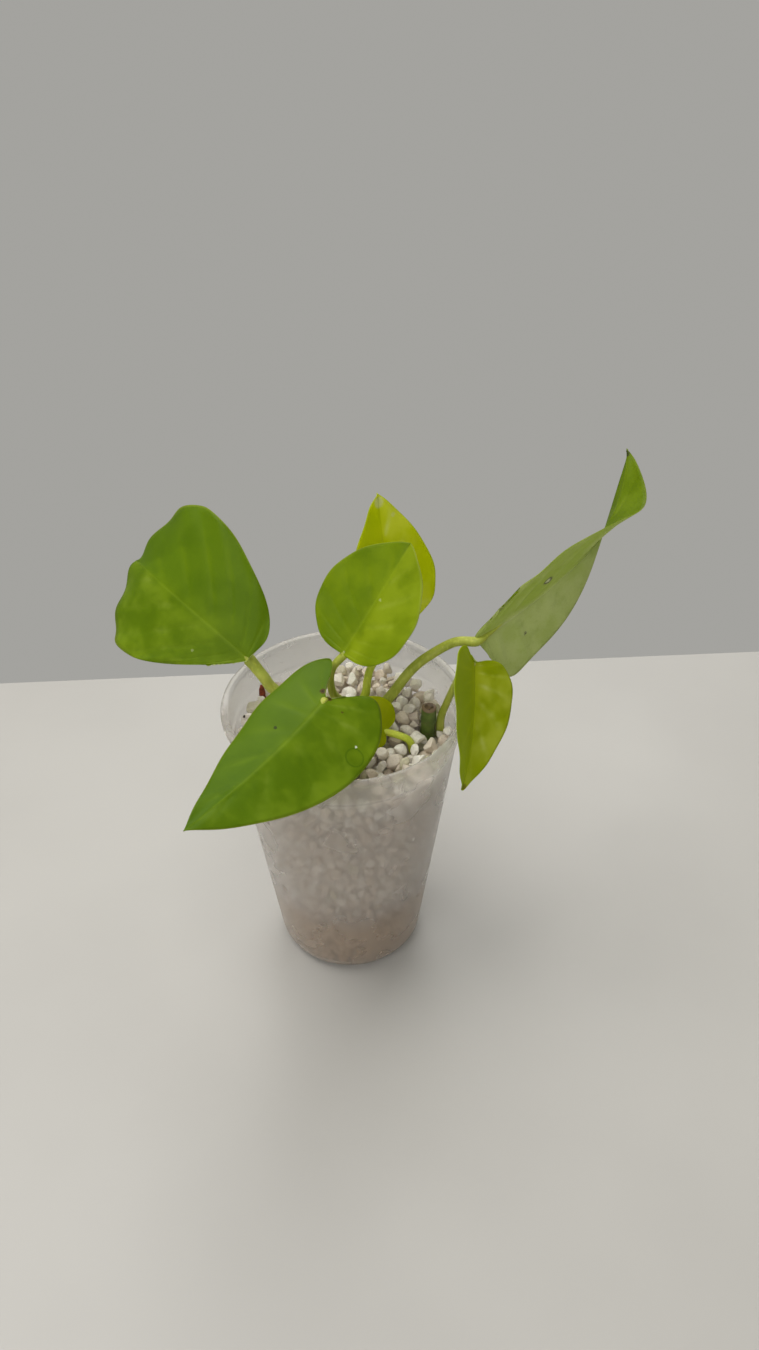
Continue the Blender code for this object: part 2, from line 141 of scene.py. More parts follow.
class Sock:
    # one socket of a node tree; arithmetic on it adds Math nodes
    def __init__(self, tree, socket=None):
        self.tree, self.socket = tree, socket

    def node(self, kind, settings=None, sockets=None, out=0):
        made = self.tree.nodes.new(kind)
        for key, value in (settings or {}).items():
            setattr(made, key, value)
        for key, value in (sockets or {}).items():
            if isinstance(value, Sock):
                self.tree.links.new(value.socket, made.inputs[key])
            else:
                made.inputs[key].default_value = value
        return Sock(self.tree, made.outputs[out])

    def calc(self, kind, a, b=0.0):
        return self.node("ShaderNodeMath", {"operation": kind}, {0: a, 1: b})

    def __add__(self, other):
        return self.calc("ADD", self, other)

    def __radd__(self, other):
        return self.calc("ADD", other, self)

    def __sub__(self, other):
        return self.calc("SUBTRACT", self, other)

    def __rsub__(self, other):
        return self.calc("SUBTRACT", other, self)

    def __mul__(self, other):
        return self.calc("MULTIPLY", self, other)

    def __rmul__(self, other):
        return self.calc("MULTIPLY", other, self)

    def step(self, low, high):
        # 0 below low, 1 above high, smooth between
        return self.node("ShaderNodeMapRange", {"interpolation_type": "SMOOTHSTEP"},
                         {"Value": self, "From Min": low, "From Max": high})

    def mix(self, first, second):
        # the socket is the factor between two colours
        first, second = [c if isinstance(c, Sock) else (*c, 1) for c in (first, second)]
        return self.node("ShaderNodeMix", {"data_type": "RGBA"},
                         {0: self, 6: first, 7: second}, 2)

    def noise(self, place, scale, detail=2.0, rough=0.5):
        return self.node("ShaderNodeTexNoise", None,
                         {"Vector": place, "Scale": scale, "Detail": detail, "Roughness": rough})

    def mark(self, name):
        return self.node("ShaderNodeAttribute", {"attribute_name": name}, None, 2)

    def tint(self, name):
        return self.node("ShaderNodeAttribute", {"attribute_name": name}, None, 0)

    def place(self):
        return self.node("ShaderNodeTexCoord", None, None, 3)

    def away(self, place, point):
        # distance from a fixed point, in metres
        return self.node("ShaderNodeVectorMath", {"operation": "DISTANCE"}, {0: place, 1: point}, 1)

    def bump(self, height, strength, distance):
        return self.node("ShaderNodeBump", None,
                         {"Height": height, "Strength": strength, "Distance": distance})


def newFinish(name):
    made = bpy.data.materials.new(name)
    made.use_nodes = True
    tree = made.node_tree
    tree.nodes.clear()
    return made, Sock(tree)


def output(root, surface):
    out = root.tree.nodes.new("ShaderNodeOutputMaterial")
    root.tree.links.new(surface.socket, out.inputs["Surface"])


def skin(root, colour, rough, normal, others=None):
    sockets = {"Base Color": colour, "Roughness": rough, "Normal": normal, **(others or {})}
    return root.node("ShaderNodeBsdfPrincipled", None, sockets)


# Camera, lamps and table
camera = {"lens": 27, "place": (0.0108, -0.2394, 0.2945), "pitch": 52.4, "roll": -0.35}
lens = bpy.data.cameras.new("camera")
lens.lens = camera["lens"]
lens.sensor_width = 36
lens.clip_start = 0.01
eye = bpy.data.objects.new("camera", lens)
eye.matrix_world = (Matrix.Translation(camera["place"])
                    @ Matrix.Rotation(math.radians(camera["pitch"]), 4, "X")
                    @ Matrix.Rotation(math.radians(camera["roll"]), 4, "Z"))
scene.collection.objects.link(eye)
scene.camera = eye
scene.view_settings.view_transform = "Standard"

lamps = {
    "ceiling": {"place": (-0.45, 0.10, 1.20), "aim": (0, 0, 0.05), "size": 0.9, "watts": 9,
                "colour": (1.0, 0.985, 0.96)},
    "wallBounce": {"place": (0.15, 1.0, 0.95), "aim": (0, 0, 0.1), "size": 1.0, "watts": 6,
                   "colour": (1.0, 1.0, 0.98)},
    "roomFill": {"place": (-0.35, -0.95, 0.75), "aim": (0, 0, 0.08), "size": 1.2, "watts": 5.5,
                 "colour": (0.96, 0.98, 1.0)},
}
for name, lamp in lamps.items():
    light = bpy.data.lights.new(name, "AREA")
    light.shape = "DISK"
    light.size = lamp["size"]
    light.energy = lamp["watts"]
    light.color = lamp["colour"]
    holder = bpy.data.objects.new(name, light)
    holder.location = lamp["place"]
    aim = Vector(lamp["aim"]) - Vector(lamp["place"])
    holder.rotation_euler = aim.to_track_quat("-Z", "Y").to_euler()
    scene.collection.objects.link(holder)

room = bpy.data.worlds.new("room")
room.use_nodes = True
room.node_tree.nodes["Background"].inputs["Color"].default_value = (0.37, 0.365, 0.345, 1)
scene.world = room

table = {"front": -2.0, "back": 0.151, "side": 2.0, "depth": 0.03, "edge": 0.003, "turn": 3.4,
         "dull": (0.455, 0.44, 0.412), "pale": (0.485, 0.47, 0.44)}


def buildTable():
    material, root = newFinish("tableTop")
    place = root.place()
    cloud = root.noise(place, 9, 3)
    fine = root.noise(place, 900, 2)
    colour = cloud.step(0.3, 0.7).mix(table["dull"], table["pale"])
    output(root, skin(root, colour, 0.42 + 0.08 * fine, root.bump(fine, 0.05, 0.0002)))
    mesh = bpy.data.meshes.new("table")
    work = bmesh.new()
    bmesh.ops.create_cube(work, size=1.0)
    for v in work.verts:
        v.co = ((v.co.x * 2) * table["side"], table["back"] if v.co.y > 0 else table["front"],
                0.0 if v.co.z > 0 else -table["depth"])
    bmesh.ops.bevel(work, geom=work.edges[:], offset=table["edge"], segments=4, affect="EDGES")
    work.to_mesh(mesh)
    work.free()
    mesh.materials.append(material)
    top = bpy.data.objects.new("table", mesh)
    top.rotation_euler.z = math.radians(table["turn"])
    scene.collection.objects.link(top)


buildTable()
print("camera, lights and table made")


cup = {"wall": 0.0008, "baseRadius": 0.0242, "bead": 0.0012, "corner": 0.006, "stepBelow": 0.011,
       "stepOut": 0.0004, "stepHalf": 0.0012, "beadReach": 2.6, "segments": 180,
       "white": (0.92, 0.87, 0.815), "tea": (0.70, 0.52, 0.36), "sheer": (0.97, 0.965, 0.96),
       # the foot colour is painted contact shade where the cup stands on the table
       "footContactShade": (0.28, 0.18, 0.11), "speck": (0.30, 0.20, 0.12), "smudge": (0.13, 0.08, 0.05),
       "dampUpTo": (0.026, 0.040),
       "smudges": [(-135.5, 0.0713, 0.0013), (-136.4, 0.0379, 0.0017), (-32.2, 0.0279, 0.0012),
                   (150, 0.060, 0.0012), (62, 0.045, 0.0014)]}   # bearing, height, radius
slope = math.atan((rimRadius - cup["bead"] - cup["baseRadius"]) / cupHeight)


def wallRadius(height, inset=0.0):
    out = cup["stepOut"] if height > cupHeight - cup["stepBelow"] else 0.0
    return cup["baseRadius"] + height * math.tan(slope) + out - inset / math.cos(slope)


def cupProfile(inset, top):
    # from the middle of the base out and up to the height top
    radius = cup["corner"] - inset
    foot = cup["baseRadius"] - inset / math.cos(slope) + inset * math.tan(slope)
    centre = foot - radius * (1 - math.sin(slope)) / math.cos(slope)
    line = [(r * centre, inset) for r in (0.0, 0.35, 0.7, 0.9)]
    for i in range(13):
        angle = -math.pi / 2 + (math.pi / 2 - slope) * i / 12
        line.append((centre + radius * math.cos(angle), inset + radius * (1 + math.sin(angle))))
    edge = cupHeight - cup["stepBelow"]
    start = line[-1][1]
    half = cup["stepHalf"]
    heights = [start + (edge - half - start) * i / 10 for i in range(1, 11)]
    for h in heights:
        line.append((wallRadius(h, inset), h))
    for i in range(1, 6):                                   # the stacking step, rounded over
        blend = (1 - math.cos(math.pi * i / 6)) / 2
        h = edge - half + 2 * half * i / 6
        base = cup["baseRadius"] + h * math.tan(slope) - inset / math.cos(slope)
        line.append((base + cup["stepOut"] * blend, h))
    for h in (edge + half, edge + 0.004, top):
        line.append((wallRadius(h, inset), h))
    return line


def buildCup():
    low = cupHeight - cup["beadReach"] * cup["bead"]
    inner, outer = cupProfile(cup["wall"], low), cupProfile(0.0, low)
    middle = (rimRadius - cup["bead"], cupHeight - cup["bead"])
    under = middle[1] - cup["bead"]
    reachIn = math.acos((wallRadius(under, cup["wall"]) - middle[0]) / cup["bead"])
    reachOut = math.acos((wallRadius(under) - middle[0]) / cup["bead"])
    bead = []
    for i in range(23):
        angle = 2 * math.pi - reachIn + (reachIn - 2 * math.pi - reachOut) * i / 22
        bead.append((middle[0] + cup["bead"] * math.cos(angle),
                     middle[1] + cup["bead"] * math.sin(angle)))
    profile = inner + bead + outer[::-1]
    verts, faces = lathe(profile, cup["segments"])
    piece = meshPiece("frosted_cup", verts, faces, frostedPlastic(), ["cup"], "cup_plastic")
    facingOut(piece, True)


def frostedPlastic():
    material, root = newFinish("frostedPlastic")
    place = root.place()
    height = root.node("ShaderNodeSeparateXYZ", None, {0: place}, 2)
    cloud = root.noise(place, 60, 3)
    grain = root.noise(place, 2600, 2)
    scuffs = root.noise(root.node("ShaderNodeMapping", None,
                                  {"Vector": place, "Scale": (1, 1, 0.25)}), 240, 4, 0.6)
    damp = 1 - (height + 0.008 * cloud).step(*cup["dampUpTo"])
    specks = root.noise(place, 620, 3, 0.6).step(0.685, 0.72) * height.step(0.086, 0.092)
    # painted contact shade: the lowest few millimetres, where the cup stands on the table, are
    # darker brown and more opaque
    foot = 1 - height.step(0.0008, 0.0050)
    milk = 0.19 + 0.05 * cloud.step(0.35, 0.7) + 0.08 * scuffs.step(0.55, 0.75) \
        + 0.4 * specks + 0.25 * foot
    colour = (damp * 0.8).mix(cup["white"], cup["tea"])
    # painted contact shade at the foot
    colour = (0.75 * foot).mix(colour, cup["footContactShade"])
    colour = (0.85 * specks).mix(colour, cup["speck"])
    for bearing, level, radius in cup["smudges"]:
        angle, out = math.radians(bearing), wallRadius(level)
        away = root.away(place, (out * math.cos(angle), out * math.sin(angle), level))
        smudge = 1 - (away + 0.004 * (scuffs - 0.5)).step(0.3 * radius, radius)
        colour = (0.9 * smudge).mix(colour, cup["smudge"])
        milk = milk + 0.6 * smudge
    normal = root.bump(grain + 0.6 * scuffs, 0.06, 0.0002)
    clear = skin(root, (*cup["sheer"], 1), 0.24 + 0.06 * cloud, normal,
                 {"Transmission Weight": 1.0, "IOR": 1.33})
    white = skin(root, colour, 0.45, normal, {"Specular IOR Level": 0.4})
    glow = root.node("ShaderNodeBsdfTranslucent", None, {"Color": (*cup["white"], 1)})
    body = root.node("ShaderNodeMixShader", None, {0: 0.5 - 0.35 * damp, 1: white, 2: glow})
    output(root, root.node("ShaderNodeMixShader", None, {0: milk, 1: clear, 2: body}))
    return material


buildCup()
print("cup made")


# The plant's routes, with heights above the gravel as in the CAD
routes = {
    "petiole_front": {"leaf": "leaf_front", "radii": (0.0015, 0.0012), "path": [
        (0.0021, -0.0017, 0.0036), (0.0004, -0.0060, 0.0085), (-0.0020, -0.0115, 0.0185)]},
    "petiole_centre": {"leaf": "leaf_centre", "radii": (0.0014, 0.0012), "path": [
        (0.0006, 0.0032, 0.0090), (-0.0028, 0.0030, 0.0122), (-0.0040, 0.0030, 0.0174),
        (-0.0032, 0.0030, 0.0231)]},
    "petiole_left": {"leaf": "leaf_left", "radii": (0.0018, 0.0018), "path": [
        (-0.0026, 0.0012, 0.0030), (-0.0110, 0.0024, 0.0062), (-0.0213, 0.0040, 0.0140),
        (-0.0246, 0.0046, 0.0190)]},
    "petiole_back": {"leaf": "leaf_back", "radii": (0.0014, 0.0011), "path": [
        (0.0030, 0.0064, 0.0020), (0.0062, 0.0082, 0.0084), (0.0070, 0.0102, 0.0128),
        (0.0085, 0.0130, 0.0165), (0.0142, 0.0212, 0.0200)]},
    "petiole_tall": {"leaf": "leaf_tall", "radii": (0.0017, 0.0014), "path": [
        (0.0062, 0.0026, 0.0025), (0.0131, 0.0040, 0.0098), (0.0201, 0.0058, 0.0196),
        (0.0261, 0.0064, 0.0252), (0.0334, 0.0062, 0.0301)]},
    "petiole_low": {"leaf": "leaf_low", "radii": (0.0012, 0.0010), "path": [
        (0.0298, 0.0026, -0.0035), (0.0299, 0.0024, 0.0041), (0.0315, 0.0015, 0.0109),
        (0.0332, 0.0000, 0.0179), (0.0354, -0.0022, 0.0262)]},
    "petiole_small": {"leaf": "leaf_small", "radii": (0.0012, 0.0011), "path": [
        (0.0212, -0.0064, -0.0020), (0.0192, -0.0065, 0.0030)]},
}
stems = {
    "vine_stem": {"foot": (0.0005, 0.0010, -0.032), "top": (0.0018, 0.0026, 0.0075),
                  "radius": 0.0029, "end": 0.9},
    "stem_stub": {"foot": (0.0254, 0.0022, -0.014), "top": (0.0260, 0.0018, 0.0085),
                  "radius": 0.0023, "end": 1.0},
}


def aboveGravel(point):
    return np.array((point[0], point[1], gravelTop + point[2]))


pumice = {
    "grain": 0.0036, "spread": (0.70, 1.30), "seed": 11, "tries": 44, "most": 6000,
    "shell": 0.0105, "topLayer": 0.014, "level": 0.0037,          # where grains are poured
    "wallBand": (-0.0016, 0.0005), "postTop": 0.005,
    "seenDepth": 0.0038, "topDepth": 0.0085, "fineDepth": 0.0045,  # which of them are shown
    "footBand": 0.006,
    "coreInset": 0.0040, "coreDepth": 0.0058, "coreTurns": 48,
    "shapes": 34, "cuts": 8, "cutAt": (0.50, 0.88), "worn": 0.97, "stretch": (0.74, 1.18),
    "waves": 2.6, "waveDepth": 0.03, "swell": 1.2,
    "loose": 22, "looseSize": (0.8, 1.05), "settle": 0.94, "highest": 0.0062,
    "stalkGap": 0.0006, "wallGap": 0.0005, "floorGap": 0.0003,
    "pale": (0.92, 0.88, 0.80), "buff": (0.80, 0.69, 0.57), "grey": (0.66, 0.60, 0.54),
    # the pore colour is painted shade in the pores
    "mossy": (0.42, 0.44, 0.20), "blotch": (0.60, 0.52, 0.44), "poreShade": (0.36, 0.31, 0.26),
    # the browner colour below the top is painted shade inside the pile, together with dampness
    "buried": (0.54, 0.42, 0.30), "wet": (0.38, 0.25, 0.145),
    "buriedDepth": (0.016, 0.002), "wetUpTo": (0.028, 0.042)}


def grainShapes(rng, count, detail):
    # worn angular pebbles of radius about 1: a ball shaved by a few planes
    ball = bmesh.new()
    bmesh.ops.create_icosphere(ball, subdivisions=detail, radius=1.0)
    base = np.array([v.co[:] for v in ball.verts])
    faces = np.array([[v.index for v in f.verts] for f in ball.faces])
    ball.free()
    shapes = []
    for _ in range(count):
        made = base.copy()
        for _ in range(pumice["cuts"]):
            way = rng.normal(size=3)
            way /= np.linalg.norm(way)
            over = np.maximum(made @ way - rng.uniform(*pumice["cutAt"]), 0)
            made -= pumice["worn"] * over[:, None] * way
        waves = rng.normal(size=(3, 3)) * pumice["waves"]
        ripple = np.sin(made @ waves.T + rng.uniform(0, 6, 3)).sum(1)
        made *= (1 + pumice["waveDepth"] * ripple)[:, None]
        made *= rng.uniform(*pumice["stretch"], 3)
        shapes.append(made)
    return shapes, faces


def pour(rng):
    # grains settle one by one at the lowest of a few tried places
    wall = cup["wall"]
    floor = wall + pumice["floorGap"]
    lean = math.tan(slope)
    inner0 = wallRadius(0.0, wall)
    posts = []
    for stem in stems.values():
        a, b = aboveGravel(stem["foot"]), aboveGravel(stem["top"])
        posts += [(*(a + (b - a) * i / 30), stem["radius"]) for i in range(31)]
    for route in routes.values():
        path = splinePath([aboveGravel(p) for p in route["path"]], 8)
        posts += [(*p, route["radii"][0]) for p in path if p[2] < gravelTop + pumice["postTop"]]
    balls = np.zeros((pumice["most"], 4))
    balls[:len(posts)] = posts
    count = first = len(posts)
    coreTop = gravelTop - pumice["topLayer"]
    level = 0.0
    while count < len(balls):
        radius = pumice["grain"] / 2 * rng.uniform(*pumice["spread"])
        k = pumice["tries"]
        angle = rng.uniform(0, 2 * math.pi, k)
        out = inner0 + lean * level - radius
        far = np.where(np.arange(k) % 2 == 0, out * np.sqrt(rng.uniform(0, 1, k)),
                       out + rng.uniform(*pumice["wallBand"], k))
        x, y = far * np.cos(angle), far * np.sin(angle)
        z = np.maximum(floor + radius, (far + radius - inner0) / lean)
        known = balls[:count]
        reach = known[:, 3] + radius
        flat = (x[:, None] - known[:, 0]) ** 2 + (y[:, None] - known[:, 1]) ** 2
        lift = np.where(flat < reach ** 2,
                        known[:, 2] + np.sqrt(np.maximum(reach ** 2 - flat, 0)), 0).max(1)
        z = np.maximum(z, lift)
        inCore = (z < coreTop) & (far < inner0 + lean * z - pumice["shell"])
        z = np.where(inCore, coreTop + radius, z)
        best = int(np.argmin(z))
        level = z[best]
        if level > gravelTop + pumice["level"]:
            break
        balls[count] = (x[best], y[best], z[best], radius)
        count += 1
    return balls[first:count], np.array(posts)


def pileMesh(name, balls, shapes, faces, rng, material, nodes, slotName, swell=pumice["swell"]):
    verts, allFaces, tones = [], [], []
    for n, (x, y, z, radius) in enumerate(balls):
        shape = shapes[rng.integers(len(shapes))]
        turn = np.linalg.qr(rng.normal(size=(3, 3)))[0]
        turn[:, 0] *= np.linalg.det(turn)
        grain = shape @ turn.T * radius * swell + (x, y, z)
        grain[:, 2] += max(0.0, cup["wall"] + pumice["floorGap"] - grain[:, 2].min())
        bend = np.clip(1 - grain[:, 2] / cup["corner"], 0, 1)          # the rounded foot
        room = wallRadius(0.0, cup["wall"] + pumice["wallGap"]) + math.tan(slope) * grain[:, 2] \
            - (cup["corner"] - cup["wall"]) * (1 - np.sqrt(1 - bend ** 2))
        over = max(0.0, (np.hypot(grain[:, 0], grain[:, 1]) - room).max())
        grain[:, :2] -= over * np.array((x, y)) / math.hypot(x, y)     # clear of the wall
        verts.append(grain)
        allFaces.append(faces + n * len(shape))
        tone = np.empty((len(shape), 4))
        tone[:] = (rng.uniform(), rng.uniform(), rng.uniform(), 1)
        tones.append(tone)
    return meshPiece(name, np.concatenate(verts), np.concatenate(allFaces).tolist(), material,
                     nodes, slotName, {"grainTone": np.concatenate(tones)}, False)


def pumiceStone():
    material, root = newFinish("pumiceStone")
    place = root.place()
    tone = root.tint("grainTone")
    parts = [root.node("ShaderNodeSeparateColor", None, {0: tone}, i) for i in range(3)]
    height = root.node("ShaderNodeSeparateXYZ", None, {0: place}, 2)
    blotch = root.noise(place, 420, 3)
    fine = root.noise(place, 2400, 4, 0.65)
    pores = root.node("ShaderNodeTexVoronoi", None, {"Vector": place, "Scale": 1900.0}, 0)
    pits = 1 - pores.step(0.05, 0.42)
    colour = parts[0].step(0.1, 0.9).mix(pumice["pale"], pumice["buff"])
    colour = (parts[1].step(0.72, 0.95) * 0.6).mix(colour, pumice["grey"])
    colour = (parts[2].step(0.90, 0.97) * 0.55).mix(colour, pumice["mossy"])
    colour = (blotch.step(0.45, 0.75) * 0.45).mix(colour, pumice["blotch"])
    # painted shade: the pores are darkened
    colour = (pits * 0.30).mix(colour, pumice["poreShade"])
    # grains deeper than the top are browner: painted shade inside the pile and cup, and dampness
    buried = 1 - height.step(*(gravelTop - depth for depth in pumice["buriedDepth"]))
    colour = (buried * 0.4).mix(colour, pumice["buried"])
    wet = 1 - (height + 0.008 * root.noise(place, 70, 2)).step(*pumice["wetUpTo"])
    colour = (wet * 0.8).mix(colour, pumice["wet"])
    normal = root.bump(fine * 0.7 - 0.8 * pits, 0.55, 0.00035)
    output(root, skin(root, colour, 0.9 - 0.25 * wet, normal, {"Specular IOR Level": 0.25}))
    return material


def buildCore(material):
    # dark filling behind the outer grains, never reaching the surface
    inset = cup["wall"] + pumice["coreInset"]
    low, high = inset, gravelTop - pumice["coreDepth"]
    rows = [(0.0, low)] + [(wallRadius(h, inset) * (0.82 if i == 0 else 1), h)
                           for i, h in enumerate(np.linspace(low, high, 12))] + [(0.0, high)]
    verts, faces = lathe(rows, pumice["coreTurns"])
    tone = np.full((len(verts), 4), 0.5)
    piece = meshPiece("pumice_core", verts, faces, material, [], "pumice", {"grainTone": tone})
    facingOut(piece, True)


def buildPumice():
    rng = np.random.default_rng(pumice["seed"])
    balls, posts = pour(rng)
    gap = wallRadius(0.0, cup["wall"]) + math.tan(slope) * balls[:, 2] \
        - np.hypot(balls[:, 0], balls[:, 1]) - balls[:, 3]
    nearTop = balls[:, 2] > gravelTop - pumice["topDepth"]
    fine = balls[:, 2] > gravelTop - pumice["fineDepth"]
    nearWall = (gap < pumice["seenDepth"]) | (balls[:, 2] < pumice["footBand"])
    extra = []
    top = balls[nearTop]
    while len(extra) < pumice["loose"]:                    # a few grains lying on the rest
        radius = pumice["grain"] / 2 * rng.uniform(*pumice["looseSize"])
        far = (wallRadius(gravelTop, cup["wall"]) - radius) * math.sqrt(rng.uniform())
        angle = rng.uniform(0, 2 * math.pi)
        x, y = far * math.cos(angle), far * math.sin(angle)
        clear = np.hypot(posts[:, 0] - x, posts[:, 1] - y) - posts[:, 3] - radius
        if clear[posts[:, 2] > gravelTop - 0.001].min() < pumice["stalkGap"]:
            continue
        known = np.concatenate([top, np.array(extra).reshape(-1, 4)])
        flat = (known[:, 0] - x) ** 2 + (known[:, 1] - y) ** 2
        reach = (known[:, 3] + radius) * pumice["settle"]
        lift = np.where(flat < reach ** 2,
                        known[:, 2] + np.sqrt(np.maximum(reach ** 2 - flat, 0)), 0)
        if lift.max() + radius < gravelTop + pumice["highest"]:
            extra.append((x, y, lift.max(), radius))
    shapes, faces = grainShapes(rng, pumice["shapes"], 3)
    coarse, coarseFaces = grainShapes(rng, pumice["shapes"], 2)
    material = pumiceStone()
    seen = np.concatenate([balls[nearTop & fine], np.array(extra)])
    grains = sorted(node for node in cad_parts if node.startswith("grain_"))
    half = len(seen) // 2
    pileMesh("pumice_top_a", seen[:half], shapes, faces, rng, material, grains, "pumice")
    pileMesh("pumice_top_b", seen[half:], shapes, faces, rng, material, [], "pumice")
    under = balls[nearTop & ~fine]
    pileMesh("pumice_under", under, coarse, coarseFaces, rng, material, ["pumice_fill"], "pumice")
    outer = balls[nearWall & ~nearTop]
    for letter, part in zip("abc", np.array_split(outer, 3)):
        pileMesh("pumice_side_" + letter, part, coarse, coarseFaces, rng, material, [], "pumice", 1)
    buildCore(material)
    print("pumice poured:", len(balls), "grains,", len(seen), "on top,", len(outer), "at the wall")
    return seen


gravelTops = buildPumice()


# attach is bearing in degrees, distance and height, and the next values shape the blade as in the
# CAD; young is how yellow, swell and ripple how wavy, clear how much light comes through it
leaves = {
    "leaf_front": {
        "attach": (-105.4, rimRadius - 0.0209, cupHeight + 0.0134), "heading": -118, "rise": -4,
        "roll": -14.5, "length": 0.0578, "halfWidths": (0.0211, 0.0150),
        "lobes": (0.0111, 0.0166), "spread": (1.53, 1.53), "point": 2.65, "droop": 9, "late": 0.3,
        "sway": -16, "fold": -9.5, "cup": -13, "young": 0.08,
        "swell": 1.0, "ripple": 0.0003, "clear": 0.3},
    "leaf_centre": {
        "attach": (95, 0.0034, cupHeight + 0.0145), "heading": 36, "rise": 48, "roll": 6,
        "length": 0.0386, "halfWidths": (0.0197, 0.0186), "lobes": (0.0010, 0.0002),
        "spread": (1.17, 1.17), "point": 5.2, "droop": -3, "late": 0.3, "sway": 0, "fold": 4,
        "cup": 3, "young": 0.38, "swell": 1.0, "ripple": 0.0002, "clear": 0.32},
    "leaf_left": {
        "attach": (169.2, rimRadius - 0.0082, cupHeight + 0.0109), "heading": 156.5,
        "rise": 37.5, "roll": -57, "length": 0.0581, "halfWidths": (0.0247, 0.0275),
        "lobes": (0.0002, 0.0083), "spread": (0.58, 0.58), "point": 6.2, "droop": 67, "late": 0.3,
        "sway": 15, "fold": -1.5, "cup": 0, "young": 0.12,
        "swell": 1.3, "ripple": 0.0006, "clear": 0.36},
    "leaf_back": {
        "attach": (63.7, 0.0334, gravelTop + 0.0207), "heading": 115, "rise": 78.5, "roll": 14,
        "length": 0.0431, "halfWidths": (0.0170, 0.0180), "lobes": (0.0030, 0.0017),
        "spread": (1.37, 1.37), "point": 2.6, "droop": 5, "late": 0.3, "sway": -1, "fold": 6.5,
        "cup": 5, "young": 1.9, "swell": 1.0, "ripple": 0.0003, "clear": 0.6},
    "leaf_tall": {
        "attach": (7, rimRadius + 0.0020, cupHeight + 0.0190), "heading": 21.5, "rise": 24,
        "roll": -73, "length": 0.0827, "halfWidths": (0.0225, 0.0232),
        "lobes": (-0.0018, -0.0084), "spread": (2.38, 1.15), "point": 1.64, "droop": -63,
        "late": 0.6, "sway": 10.5, "fold": -11.5, "cup": -9.5, "twist": 45.5, "twistAt": 0.64,
        "twistOver": 0.17, "young": 0.3, "swell": 0.25, "ripple": 0.0003, "clear": 0.55},
    "leaf_low": {
        "attach": (-7.4, rimRadius + 0.0013, cupHeight + 0.0175), "heading": -87, "rise": -52,
        "roll": -44, "length": 0.0380, "halfWidths": (0.0136, 0.0147),
        "lobes": (0.0008, 0.0055), "spread": (1.43, 1.43), "point": 2.9, "droop": 20, "late": 0.3,
        "sway": -3, "fold": 17, "cup": 0, "young": 1.1,
        "swell": 1.0, "ripple": 0.0002, "clear": 0.55},
    "leaf_small": {
        "attach": (-21.5, 0.0137, gravelTop + 0.0049), "heading": 184.5, "rise": 46.5,
        "roll": -44, "length": 0.0155, "halfWidths": (0.0075, 0.0081),
        "lobes": (0.0020, 0.0012), "spread": (1.34, 1.34), "point": 4.3, "droop": 7, "late": 0.3,
        "sway": 0, "fold": 3.5, "cup": 4, "young": 1.4,
        "swell": 1.0, "ripple": 0.0001, "clear": 0.5},
}
blade = {"rows": 120, "columns": 48, "frames": 60, "thickness": 0.00042, "rib": 0.0011,
         "groove": 0.00024, "grooveWidth": 0.00055, "ribWidth": 0.00075, "ribPaint": 0.0005,
         "veins": 8, "veinDepth": 0.00013, "underVein": 0.00012, "swell": 0.00035,
         "usualLength": 0.058, "lobeAt": 0.17, "veinStart": 2.3, "veinCurve": 1.3}


def attachPoint(leaf):
    bearing, distance, height = leaf["attach"]
    angle = math.radians(bearing)
    return Vector((distance * math.cos(angle), distance * math.sin(angle), height))


def midribFrames(leaf):
    count = blade["frames"]
    heading, rise = math.radians(leaf["heading"]), math.radians(leaf["rise"])
    forward = Vector((math.cos(rise) * math.cos(heading), math.cos(rise) * math.sin(heading),
                      math.sin(rise)))
    left = Vector((0, 0, 1)).cross(forward).normalized()
    up = forward.cross(left)
    roll = Matrix.Rotation(math.radians(leaf["roll"]), 3, forward)
    left, up = roll @ left, roll @ up
    place = attachPoint(leaf)
    frames = []
    for i in range(count + 1):
        frames.append([*place, *forward, *left, *up])
        along = (i + 0.5) / count
        droop = math.radians(leaf["droop"]) / count \
            * (1 - leaf["late"] + 3 * leaf["late"] * along ** 2)
        twist = 0.0
        if "twist" in leaf:
            offset = (along - leaf["twistAt"]) / leaf["twistOver"]
            twist = math.radians(leaf["twist"]) / count * math.exp(-offset ** 2) \
                / (leaf["twistOver"] * math.sqrt(math.pi))
        turn = Matrix.Rotation(droop, 3, left)
        forward, up = turn @ forward, turn @ up
        turn = Matrix.Rotation(math.radians(leaf["sway"]) / count, 3, up)
        forward, left = turn @ forward, turn @ left
        turn = Matrix.Rotation(twist, 3, forward)
        left, up = turn @ left, turn @ up
        place = place + forward * (leaf["length"] / count)
    return np.array(frames)


